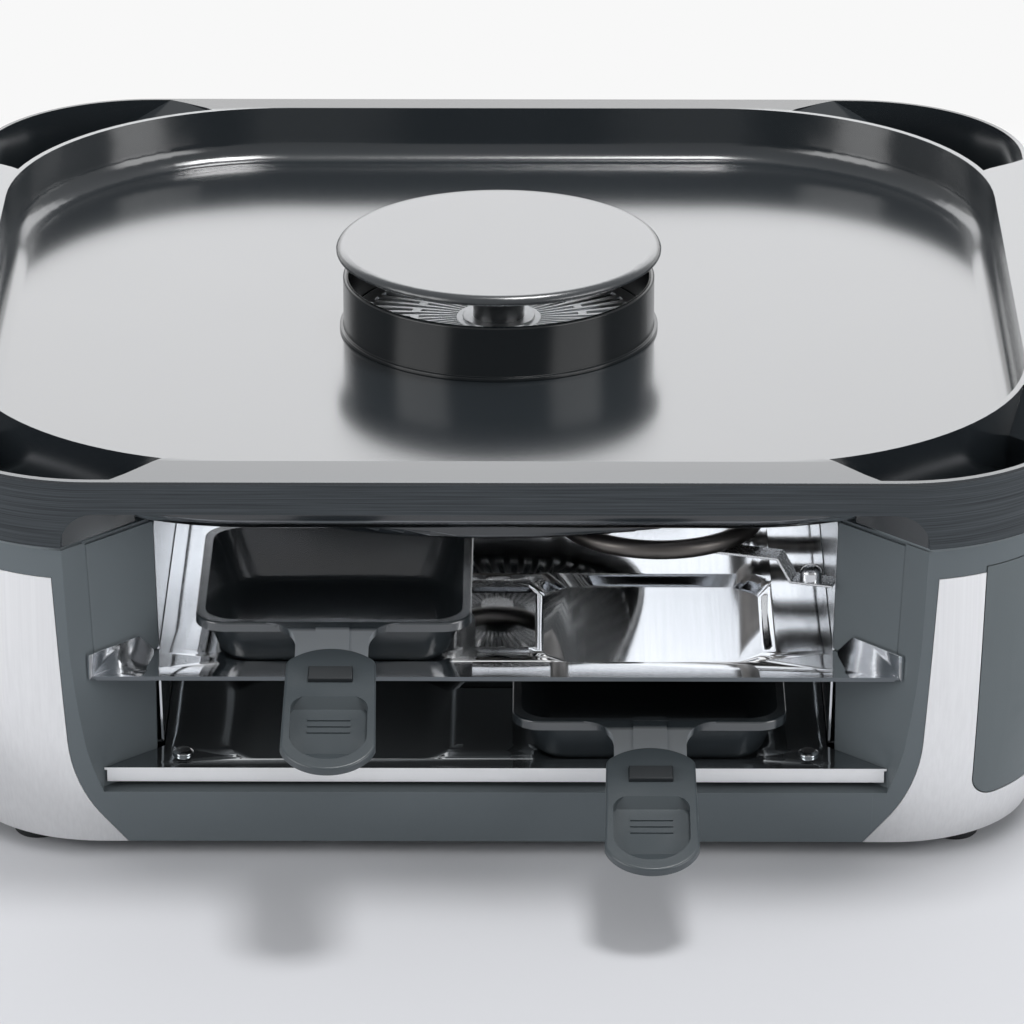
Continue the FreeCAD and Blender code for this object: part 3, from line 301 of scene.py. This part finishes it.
materials = {
    "plate": plate_metal(),
    "chimney_ring": coated("ring_coat", rgb(24, 28, 31), 0.2),
    "chimney_grille": grille_metal(),
    "chimney_cap": coated("cap_coat", rgb(44, 48, 52), 0.25, coat=0.95),
    "housing": plastic("slate_plastic", rgb(98, 106, 110), 0.55),
    "steel_cover": brushed("cover_steel", rgb(247, 247, 247), 0.34, depth=0.00001, spread=0.02),
    "control_panel": plastic("panel_plastic", rgb(96, 104, 107), 0.5),
    "knob": plastic("knob_plastic", rgb(36, 40, 43), 0.35),
    "shaft": brushed("shaft_steel", rgb(190, 190, 190), 0.3),
    "thermostat": plastic("thermostat_plastic", rgb(60, 60, 60), 0.5),
    "lamp": plastic("lamp_plastic", rgb(190, 30, 20), 0.12),
    "gland": plastic("gland_plastic", rgb(30, 32, 34), 0.5),
    "feet": plastic("foot_rubber", rgb(28, 30, 32), 0.7),
    "screws": brushed("screw_steel", rgb(236, 238, 240), 0.2),
    "mirror_steel": shelf_mirror(),
    "shelf_steel": shelf_enamel(),
    "reflector": brushed("reflector_steel", rgb(214, 217, 220), 0.16, depth=0.000006, spread=0.03),
    "liner": plastic("liner_paint", rgb(100, 108, 112), 0.5),
    "element": brushed("element_steel", rgb(110, 106, 103), 0.35),
    "bracket": brushed("bracket_steel", rgb(222, 224, 226), 0.24),
    "ceramic": plastic("ceramic", rgb(220, 216, 205), 0.7),
    "pad": plastic("pad_silicone", rgb(60, 60, 60), 0.6),
    "pan": pan_enamel(),
    "handle": plastic("handle_plastic", rgb(66, 73, 77), 0.34, grain=1300.0, depth=0.00008, spec=0.6),
    "nub": plastic("nub_plastic", rgb(36, 40, 43), 0.5),
}

# Edges: doubled points are joined, then edges sharper than an angle are rounded
WELD_GAP = 0.000002
EDGE_WIDTH = 0.00025
EDGE_ANGLE = math.radians(35)
EVEN_WEIGHT = 50


def soften(piece, width, angle, segments):
    bevel = piece.modifiers.new("bevel", "BEVEL")
    bevel.width = width
    bevel.segments = segments
    bevel.limit_method = "ANGLE"
    bevel.angle_limit = angle


def dress_nodes():
    """Give each carried-over piece its material and soft, evenly shaded edges."""
    for entry in frame["record"]["subparts"]:
        node = nodes[entry["node"]]
        for slot in node.material_slots:
            slot.material = materials[entry["material_slot"]]
        node.data.shade_smooth()
        node.modifiers.new("weld", "WELD").merge_threshold = WELD_GAP
        soften(node, EDGE_WIDTH, EDGE_ANGLE, 2)
        even = node.modifiers.new("even", "WEIGHTED_NORMAL")
        even.mode = "FACE_AREA"
        even.weight = EVEN_WEIGHT
        even.keep_sharp = True


# Chimney grille: radial slots, every second one bridged
GRILLE_HOLE = 0.0083
GRILLE_HUB = 0.014
GRILLE_RINGS = (0.0165, 0.021, 0.026, 0.031, 0.0345, 0.040, 0.046, 0.052)
BRIDGE_CELL = 5             # the ring of cells, counted from the hole, that holds the bridges
GRILLE_SHEET = 0.0012
GRILLE_SLOTS = 54
GRILLE_SWIRL = math.radians(8)
CELLS_PER_SLOT = 4
HUB_CELLS = 72
GRILLE_EDGE = 0.0002
GRILLE_EDGE_ANGLE = math.radians(50)


def add_cells(form, rings, count, solid, low, high, swirl=0.0):
    """A flat sheet of polar cells between two heights, with walls round every opening."""
    span = rings[-1] - rings[0]

    def corner(i, j, z):
        angle = math.tau * j / count + swirl * (rings[i] - rings[0]) / span
        return form.verts.new((rings[i] * math.cos(angle), rings[i] * math.sin(angle), z))

    tops = [[corner(i, j, high) for j in range(count)] for i in range(len(rings))]
    feet = [[corner(i, j, low) for j in range(count)] for i in range(len(rings))]

    def filled(i, j):
        return 0 <= i < len(rings) - 1 and solid(i, j % count)

    for i in range(len(rings) - 1):
        for j in range(count):
            if not filled(i, j):
                continue
            k = (j + 1) % count
            form.faces.new((tops[i][j], tops[i + 1][j], tops[i + 1][k], tops[i][k]))
            form.faces.new((feet[i][k], feet[i + 1][k], feet[i + 1][j], feet[i][j]))
            sides = {(i - 1, j): ((i, k), (i, j)), (i + 1, j): ((i + 1, j), (i + 1, k)),
                     (i, j - 1): ((i, j), (i + 1, j)), (i, j + 1): ((i + 1, k), (i, k))}
            for beside, ((a, b), (c, d)) in sides.items():
                if not filled(*beside):
                    form.faces.new((tops[c][d], tops[a][b], feet[a][b], feet[c][d]))
    loose = [v for v in form.verts if not v.link_faces]
    bmesh.ops.delete(form, geom=loose, context="VERTS")
    bmesh.ops.recalc_face_normals(form, faces=form.faces[:])


def add_mesh(name, form):
    """Turn a bmesh form into an object of the scene."""
    mesh = bpy.data.meshes.new(name)
    form.to_mesh(mesh)
    form.free()
    piece = bpy.data.objects.new(name, mesh)
    scene.collection.objects.link(piece)
    return piece


def add_grille():
    low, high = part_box("chimney_grille")
    bottom = low[2]
    rings = (GRILLE_HOLE, GRILLE_HUB) + GRILLE_RINGS + (high[0],)
    rim = len(rings) - 2

    def solid(i, j):
        in_slot = j % CELLS_PER_SLOT in (1, 2)
        has_bridge = j % (2 * CELLS_PER_SLOT) < CELLS_PER_SLOT
        return not in_slot or i < 2 or i == rim or (i == BRIDGE_CELL and has_bridge)

    form = bmesh.new()
    add_cells(form, rings, CELLS_PER_SLOT * GRILLE_SLOTS, solid, bottom, bottom + GRILLE_SHEET, GRILLE_SWIRL)
    hub = (GRILLE_HOLE, GRILLE_HUB)
    add_cells(form, hub, HUB_CELLS, lambda i, j: True, bottom + GRILLE_SHEET / 2, high[2])
    grille = add_mesh("slotted_grille", form)
    grille.data.materials.append(materials["chimney_grille"])
    soften(grille, GRILLE_EDGE, GRILLE_EDGE_ANGLE, 1)
    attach(grille, "plate")
    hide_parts("chimney_grille")


# Floor and backdrop: a flat floor that curves up into a wall far behind the object
FLOOR_FRONT = -6.0
FLOOR_BACK = 4.4
FLOOR_HALF_WIDTH = 6.0
CURVE_RADIUS = 1.2
CURVE_STEPS = 16
WALL_TOP = 5.0

# Paper: a pale floor that turns white towards the backdrop, and shows as plain white far back
PAPER_NEAR = rgb(208, 209, 213)
PAPER_FAR = rgb(250, 250, 250)
PAPER_FADE = (0.0, 0.62)
GLOW = rgb(248, 248, 248)
GLOW_FADE = (0.42, 0.64)


def floor_paper():
    g = Graph("floor_paper")
    depth = g.place()["Y"]
    g.set(Base_Color=g.tone(depth, PAPER_NEAR, PAPER_FAR, PAPER_FADE), Roughness=0.9, Specular_IOR_Level=0.1)
    path = g.add("LightPath").outputs
    seen = g.math("MAXIMUM", path["Is Camera Ray"], path["Is Glossy Ray"])
    glow = g.add("Emission", Color=GLOW, Strength=1.0).outputs[0]
    g.over(g.math("MULTIPLY", seen, g.ramp(depth, 0, 1, GLOW_FADE)), glow)
    return g.material


def add_floor():
    rows = [(FLOOR_FRONT, 0.0), (FLOOR_BACK, 0.0)]
    for step in range(1, CURVE_STEPS + 1):
        angle = math.radians(90 * step / CURVE_STEPS)
        rise = CURVE_RADIUS - CURVE_RADIUS * math.cos(angle)
        rows.append((FLOOR_BACK + CURVE_RADIUS * math.sin(angle), rise))
    rows.append((FLOOR_BACK + CURVE_RADIUS, WALL_TOP))
    form = bmesh.new()
    lines = [[form.verts.new((x, y, z)) for x in (-FLOOR_HALF_WIDTH, FLOOR_HALF_WIDTH)] for y, z in rows]
    for low, high in zip(lines, lines[1:]):
        form.faces.new((low[0], low[1], high[1], high[0]))
    floor = add_mesh("floor", form)
    floor.data.shade_smooth()
    floor.data.materials.append(floor_paper())


# Light: an even world, a little stronger from the rear, and four soft boxes
WORLD_COLOR = (0.98, 0.99, 1.0, 1.0)
WORLD_RAMP = {"From Min": -1.0, "From Max": 1.0, "To Min": 0.36, "To Max": 0.5}
WHITE = (1.0, 1.0, 1.0)
SOFTBOXES = (               # name, place, aim, width, height, luminance, colour
    ("rear_box", (0.0, 2.3, 1.35), (0.0, 0.0, 0.15), 3.6, 1.3, 1.4, (0.97, 0.98, 1.0)),
    ("top_box", (0.36, 0.0, 2.1), (0.0, -0.15, 0.0), 0.55, 0.55, 24.0, WHITE),
    ("left_box", (-1.8, -1.1, 0.85), (0.0, -0.1, 0.1), 1.6, 1.1, 3.2, WHITE),
    ("right_box", (1.9, -1.1, 0.85), (0.0, -0.1, 0.1), 1.6, 1.1, 3.2, WHITE),
)


def add_world():
    world = bpy.data.worlds.new("studio")
    scene.world = world
    world.use_nodes = True
    tree = world.node_tree
    back = tree.nodes["Background"]
    back.inputs["Color"].default_value = WORLD_COLOR
    coords = tree.nodes.new("ShaderNodeTexCoord")
    split = tree.nodes.new("ShaderNodeSeparateXYZ")
    ramp = tree.nodes.new("ShaderNodeMapRange")
    for name, value in WORLD_RAMP.items():
        ramp.inputs[name].default_value = value
    tree.links.new(coords.outputs["Generated"], split.inputs[0])
    tree.links.new(split.outputs["Y"], ramp.inputs["Value"])
    tree.links.new(ramp.outputs["Result"], back.inputs["Strength"])


def add_softbox(name, at, aim, width, height, luminance, color):
    data = bpy.data.lights.new(name, "AREA")
    data.shape = "RECTANGLE"
    data.size = width
    data.size_y = height
    data.energy = luminance * math.pi * width * height
    data.color = color
    lamp = bpy.data.objects.new(name, data)
    lamp.location = at
    toward = Vector(aim) - Vector(at)
    lamp.rotation_euler = toward.to_track_quat("-Z", "Y").to_euler()
    lamp.visible_camera = False
    scene.collection.objects.link(lamp)


add_camera()
dress_nodes()
add_grille()
add_floor()
add_world()
for softbox in SOFTBOXES:
    add_softbox(*softbox)

bpy.context.view_layer.update()
